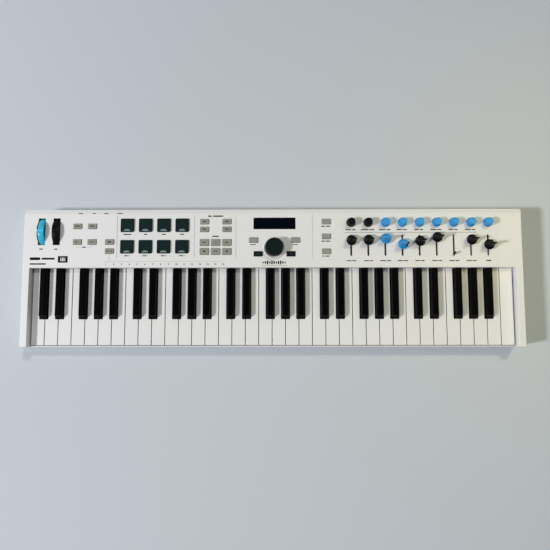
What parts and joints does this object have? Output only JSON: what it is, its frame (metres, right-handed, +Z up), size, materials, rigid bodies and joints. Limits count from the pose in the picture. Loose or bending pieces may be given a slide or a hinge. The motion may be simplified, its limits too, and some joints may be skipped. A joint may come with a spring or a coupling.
{
  "type": "midi keyboard",
  "caption": "Full-size MIDI keyboard controller in a white case, with wheels, pads, display, dial, knobs, faders and hinged keys.",
  "frame": {"origin": "centre of the footprint, on the plane the rubber feet stand on", "axes": "+X to the player's right along the keys, +Y away from the player towards the sockets, +Z up"},
  "size_m": [0.87, 0.24, 0.075],
  "materials": {
    "panel_plastic": "fine satin grain",
    "base_plastic": "fine satin grain",
    "white_keys": "semi-gloss",
    "black_keys": "satin",
    "control_black": "satin soft-touch",
    "blue_plastic": "satin",
    "cyan_plastic": "satin",
    "pad_rubber": "matte silicone",
    "button_rubber": "translucent silicone",
    "window_glass": "polished",
    "foot_rubber": "matte",
    "contact_rubber": "matte",
    "circuit_board": "solder mask",
    "component_metal": "satin",
    "plated_steel": "bright",
    "black_plastic": "moulded",
    "printed_ink": "screen-printed",
    "pad_window": "translucent silicone"
  },
  "bodies": {
    "case": {"top_case": "panel_plastic", "bottom_case": "base_plastic", "rubber_feet": "foot_rubber", "display_window": "window_glass", "screws": "plated_steel", "key_chassis": "black_plastic", "key_hinge_rod": "plated_steel", "key_contact_board": "circuit_board", "rubber_contact_strips": "contact_rubber", "main_board": "circuit_board", "slide_potentiometers": "component_metal", "encoder_bodies": "component_metal", "display_module": "component_metal", "usb_socket": "plated_steel", "pedal_jack": "black_plastic", "midi_socket": "black_plastic", "wheel_bracket": "black_plastic", "wheel_potentiometers": "component_metal", "pitch_spring": "plated_steel"},
    "c_keys": {"c_keys": "white_keys"},
    "d_keys": {"d_keys": "white_keys"},
    "e_keys": {"e_keys": "white_keys"},
    "f_keys": {"f_keys": "white_keys"},
    "g_keys": {"g_keys": "white_keys"},
    "a_keys": {"a_keys": "white_keys"},
    "b_keys": {"b_keys": "white_keys"},
    "c_sharp_keys": {"c_sharp_keys": "black_keys"},
    "d_sharp_keys": {"d_sharp_keys": "black_keys"},
    "f_sharp_keys": {"f_sharp_keys": "black_keys"},
    "g_sharp_keys": {"g_sharp_keys": "black_keys"},
    "a_sharp_keys": {"a_sharp_keys": "black_keys"},
    "pitch_wheel": {"pitch_wheel": "cyan_plastic"},
    "mod_wheel": {"mod_wheel": "control_black"},
    "knob_1": {"knob_1": "control_black"},
    "knob_2": {"knob_2": "control_black"},
    "knob_3": {"knob_3": "blue_plastic"},
    "knob_4": {"knob_4": "blue_plastic"},
    "knob_5": {"knob_5": "blue_plastic"},
    "knob_6": {"knob_6": "blue_plastic"},
    "knob_7": {"knob_7": "blue_plastic"},
    "knob_8": {"knob_8": "blue_plastic"},
    "knob_9": {"knob_9": "blue_plastic"},
    "fader_1": {"fader_1": "control_black"},
    "fader_2": {"fader_2": "control_black"},
    "fader_3": {"fader_3": "blue_plastic"},
    "fader_4": {"fader_4": "blue_plastic"},
    "fader_5": {"fader_5": "control_black"},
    "fader_6": {"fader_6": "control_black"},
    "fader_7": {"fader_7": "control_black"},
    "fader_8": {"fader_8": "control_black"},
    "fader_9": {"fader_9": "control_black"},
    "pads": {"pads": "pad_rubber"},
    "left_buttons": {"left_buttons": "button_rubber"},
    "command_buttons": {"command_buttons": "button_rubber"},
    "transport_buttons": {"transport_buttons": "button_rubber"},
    "menu_buttons": {"menu_buttons": "button_rubber"},
    "arrow_buttons": {"arrow_buttons": "control_black"},
    "part_buttons": {"part_buttons": "button_rubber"},
    "main_encoder_shaft": {"main_encoder_shaft": "plated_steel"},
    "main_dial": {"main_dial": "control_black"}
  },
  "joints": [
    {"name": "c_keys_press", "type": "hinge", "parent": "case", "child": "c_keys", "pos_m": [0, 0.047, 0.026], "axis": [1, 0, 0], "range_deg": [0, 3.4], "stiffness_Nm_per_rad": 0.6, "springref_deg": -14.9},
    {"name": "d_keys_press", "type": "hinge", "parent": "case", "child": "d_keys", "pos_m": [0, 0.047, 0.026], "axis": [1, 0, 0], "range_deg": [0, 3.4], "stiffness_Nm_per_rad": 0.6, "springref_deg": -14.9},
    {"name": "e_keys_press", "type": "hinge", "parent": "case", "child": "e_keys", "pos_m": [0, 0.047, 0.026], "axis": [1, 0, 0], "range_deg": [0, 3.4], "stiffness_Nm_per_rad": 0.6, "springref_deg": -14.9},
    {"name": "f_keys_press", "type": "hinge", "parent": "case", "child": "f_keys", "pos_m": [0, 0.047, 0.026], "axis": [1, 0, 0], "range_deg": [0, 3.4], "stiffness_Nm_per_rad": 0.6, "springref_deg": -14.9},
    {"name": "g_keys_press", "type": "hinge", "parent": "case", "child": "g_keys", "pos_m": [0, 0.047, 0.026], "axis": [1, 0, 0], "range_deg": [0, 3.4], "stiffness_Nm_per_rad": 0.6, "springref_deg": -14.9},
    {"name": "a_keys_press", "type": "hinge", "parent": "case", "child": "a_keys", "pos_m": [0, 0.047, 0.026], "axis": [1, 0, 0], "range_deg": [0, 3.4], "stiffness_Nm_per_rad": 0.6, "springref_deg": -14.9},
    {"name": "b_keys_press", "type": "hinge", "parent": "case", "child": "b_keys", "pos_m": [0, 0.047, 0.026], "axis": [1, 0, 0], "range_deg": [0, 3.4], "stiffness_Nm_per_rad": 0.6, "springref_deg": -14.9},
    {"name": "c_sharp_keys_press", "type": "hinge", "parent": "case", "child": "c_sharp_keys", "pos_m": [0, 0.047, 0.026], "axis": [1, 0, 0], "range_deg": [0, 3.4], "stiffness_Nm_per_rad": 0.6, "springref_deg": -14.9},
    {"name": "d_sharp_keys_press", "type": "hinge", "parent": "case", "child": "d_sharp_keys", "pos_m": [0, 0.047, 0.026], "axis": [1, 0, 0], "range_deg": [0, 3.4], "stiffness_Nm_per_rad": 0.6, "springref_deg": -14.9},
    {"name": "f_sharp_keys_press", "type": "hinge", "parent": "case", "child": "f_sharp_keys", "pos_m": [0, 0.047, 0.026], "axis": [1, 0, 0], "range_deg": [0, 3.4], "stiffness_Nm_per_rad": 0.6, "springref_deg": -14.9},
    {"name": "g_sharp_keys_press", "type": "hinge", "parent": "case", "child": "g_sharp_keys", "pos_m": [0, 0.047, 0.026], "axis": [1, 0, 0], "range_deg": [0, 3.4], "stiffness_Nm_per_rad": 0.6, "springref_deg": -14.9},
    {"name": "a_sharp_keys_press", "type": "hinge", "parent": "case", "child": "a_sharp_keys", "pos_m": [0, 0.047, 0.026], "axis": [1, 0, 0], "range_deg": [0, 3.4], "stiffness_Nm_per_rad": 0.6, "springref_deg": -14.9},
    {"name": "pitch_wheel_turn", "type": "hinge", "parent": "case", "child": "pitch_wheel", "pos_m": [-0.4036, 0.0807, 0.035], "axis": [-1, 0, 0], "range_deg": [-38, 38], "stiffness_Nm_per_rad": 0.02},
    {"name": "mod_wheel_turn", "type": "hinge", "parent": "case", "child": "mod_wheel", "pos_m": [-0.3775, 0.0807, 0.035], "axis": [-1, 0, 0], "range_deg": [-38, 38]},
    {"name": "knob_1_turn", "type": "hinge", "parent": "case", "child": "knob_1", "pos_m": [0.1378, 0.0957, 0.057], "axis": [0, 0, -1], "continuous": true},
    {"name": "knob_2_turn", "type": "hinge", "parent": "case", "child": "knob_2", "pos_m": [0.16755, 0.0957, 0.057], "axis": [0, 0, -1], "continuous": true},
    {"name": "knob_3_turn", "type": "hinge", "parent": "case", "child": "knob_3", "pos_m": [0.1973, 0.0957, 0.057], "axis": [0, 0, -1], "continuous": true},
    {"name": "knob_4_turn", "type": "hinge", "parent": "case", "child": "knob_4", "pos_m": [0.22705, 0.0957, 0.057], "axis": [0, 0, -1], "continuous": true},
    {"name": "knob_5_turn", "type": "hinge", "parent": "case", "child": "knob_5", "pos_m": [0.2568, 0.0957, 0.057], "axis": [0, 0, -1], "continuous": true},
    {"name": "knob_6_turn", "type": "hinge", "parent": "case", "child": "knob_6", "pos_m": [0.28655, 0.0957, 0.057], "axis": [0, 0, -1], "continuous": true},
    {"name": "knob_7_turn", "type": "hinge", "parent": "case", "child": "knob_7", "pos_m": [0.3163, 0.0957, 0.057], "axis": [0, 0, -1], "continuous": true},
    {"name": "knob_8_turn", "type": "hinge", "parent": "case", "child": "knob_8", "pos_m": [0.34605, 0.0957, 0.057], "axis": [0, 0, -1], "continuous": true},
    {"name": "knob_9_turn", "type": "hinge", "parent": "case", "child": "knob_9", "pos_m": [0.3758, 0.0957, 0.057], "axis": [0, 0, -1], "continuous": true},
    {"name": "fader_1_slide", "type": "slide", "parent": "case", "child": "fader_1", "axis": [0, 1, 0], "range_m": [-0.023, 0.007]},
    {"name": "fader_2_slide", "type": "slide", "parent": "case", "child": "fader_2", "axis": [0, 1, 0], "range_m": [-0.0234, 0.0066]},
    {"name": "fader_3_slide", "type": "slide", "parent": "case", "child": "fader_3", "axis": [0, 1, 0], "range_m": [-0.0258, 0.0042]},
    {"name": "fader_4_slide", "type": "slide", "parent": "case", "child": "fader_4", "axis": [0, 1, 0], "range_m": [-0.0161, 0.0139]},
    {"name": "fader_5_slide", "type": "slide", "parent": "case", "child": "fader_5", "axis": [0, 1, 0], "range_m": [-0.0216, 0.0084]},
    {"name": "fader_6_slide", "type": "slide", "parent": "case", "child": "fader_6", "axis": [0, 1, 0], "range_m": [-0.0281, 0.0019]},
    {"name": "fader_7_slide", "type": "slide", "parent": "case", "child": "fader_7", "axis": [0, 1, 0], "range_m": [-0.0005, 0.0295]},
    {"name": "fader_8_slide", "type": "slide", "parent": "case", "child": "fader_8", "axis": [0, 1, 0], "range_m": [-0.0237, 0.0063]},
    {"name": "fader_9_slide", "type": "slide", "parent": "case", "child": "fader_9", "axis": [0, 1, 0], "range_m": [-0.0152, 0.0148]},
    {"name": "main_dial_push", "type": "slide", "parent": "case", "child": "main_encoder_shaft", "axis": [0, 0, -1], "range_m": [0, 0.0005], "stiffness_N_per_m": 2000, "springref_m": -0.0004},
    {"name": "main_dial_turn", "type": "hinge", "parent": "main_encoder_shaft", "child": "main_dial", "pos_m": [0.0041, 0.0518, 0.058], "axis": [0, 0, -1], "continuous": true},
    {"name": "pads_press", "type": "slide", "parent": "case", "child": "pads", "axis": [0, 0, -1], "range_m": [0, 0.001], "stiffness_N_per_m": 3000, "springref_m": -0.0005},
    {"name": "left_buttons_press", "type": "slide", "parent": "case", "child": "left_buttons", "axis": [0, 0, -1], "range_m": [0, 0.0008], "stiffness_N_per_m": 1500, "springref_m": -0.0005},
    {"name": "command_buttons_press", "type": "slide", "parent": "case", "child": "command_buttons", "axis": [0, 0, -1], "range_m": [0, 0.0008], "stiffness_N_per_m": 1500, "springref_m": -0.0005},
    {"name": "transport_buttons_press", "type": "slide", "parent": "case", "child": "transport_buttons", "axis": [0, 0, -1], "range_m": [0, 0.0008], "stiffness_N_per_m": 1500, "springref_m": -0.0005},
    {"name": "menu_buttons_press", "type": "slide", "parent": "case", "child": "menu_buttons", "axis": [0, 0, -1], "range_m": [0, 0.0008], "stiffness_N_per_m": 1500, "springref_m": -0.0005},
    {"name": "arrow_buttons_press", "type": "slide", "parent": "case", "child": "arrow_buttons", "axis": [0, 0, -1], "range_m": [0, 0.0008], "stiffness_N_per_m": 1500, "springref_m": -0.0005},
    {"name": "part_buttons_press", "type": "slide", "parent": "case", "child": "part_buttons", "axis": [0, 0, -1], "range_m": [0, 0.0008], "stiffness_N_per_m": 1500, "springref_m": -0.0005}
  ]
}
